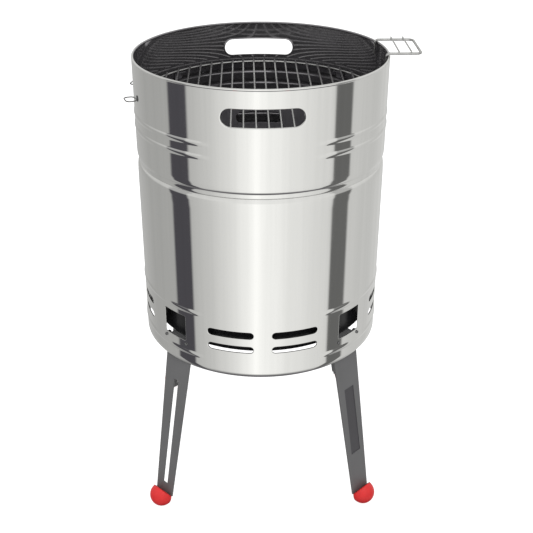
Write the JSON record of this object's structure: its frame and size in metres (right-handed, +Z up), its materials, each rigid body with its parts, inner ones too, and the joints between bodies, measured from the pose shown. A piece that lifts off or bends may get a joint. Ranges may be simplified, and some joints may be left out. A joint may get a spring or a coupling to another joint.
{
  "type": "charcoal drum grill",
  "caption": "Polished steel drum on splayed legs with ball feet, holding a lift-out charcoal bowl, a grid and a wire cooking grate, with a hook-on side rack and swivelling tool rings.",
  "frame": {"origin": "on the drum's axis at floor level, midway between the four feet", "axes": "+Z up along the drum's axis; -Y towards the front, where the beads break off; +X towards the side rack"},
  "size_m": [0.4608, 0.4018, 0.7604],
  "materials": {
    "shell_steel": "polished",
    "leg_paint": "satin",
    "foot_red": "satin",
    "wire": "polished",
    "bowl_enamel": "gloss enamel",
    "grid_iron": "matt",
    "fastener": "zinc",
    "eyelet_dark": "gloss"
  },
  "bodies": {
    "drum": {"upper_shell": "shell_steel", "lower_shell": "shell_steel", "grate_clips": "shell_steel", "leg_front_right": "leg_paint", "leg_rear_right": "leg_paint", "leg_rear_left": "leg_paint", "leg_front_left": "leg_paint", "foot_front_right": "foot_red", "foot_rear_right": "foot_red", "foot_rear_left": "foot_red", "foot_front_left": "foot_red", "leg_screws": "fastener", "leg_nuts": "fastener", "foot_screws": "fastener", "ring_eyelets": "eyelet_dark"},
    "bowl": {"charcoal_bowl": "bowl_enamel", "grid_rests": "bowl_enamel"},
    "charcoal_grid": {"charcoal_grid_ring": "grid_iron", "charcoal_grid_bars": "grid_iron"},
    "cooking_grate": {"grate_ring": "wire", "grate_bars": "wire", "grate_cross_wires": "wire"},
    "side_rack": {"rack_frame": "wire", "rack_cross_wires": "wire"},
    "front_ring": {"tool_ring_front": "wire"},
    "rear_ring": {"tool_ring_rear": "wire"}
  },
  "joints": [
    {"name": "bowl_lift", "type": "slide", "parent": "drum", "child": "bowl", "axis": [0, 0, 1], "range_m": [0, 0.45]},
    {"name": "charcoal_grid_lift", "type": "slide", "parent": "bowl", "child": "charcoal_grid", "axis": [0, 0, 1], "range_m": [0, 0.23]},
    {"name": "cooking_grate_lift", "type": "slide", "parent": "charcoal_grid", "child": "cooking_grate", "axis": [0, 0, 1], "range_m": [0, 0.12]},
    {"name": "side_rack_lift", "type": "slide", "parent": "drum", "child": "side_rack", "axis": [0, 0, 1], "range_m": [0, 0.06]},
    {"name": "front_ring_swivel", "type": "hinge", "parent": "drum", "child": "front_ring", "pos_m": [-0.18758, -0.06939, 0.7005], "axis": [-0.9379, -0.3469, 0], "continuous": true},
    {"name": "rear_ring_swivel", "type": "hinge", "parent": "drum", "child": "rear_ring", "pos_m": [-0.19225, 0.05513, 0.6875], "axis": [-0.9613, 0.2756, 0], "continuous": true}
  ]
}
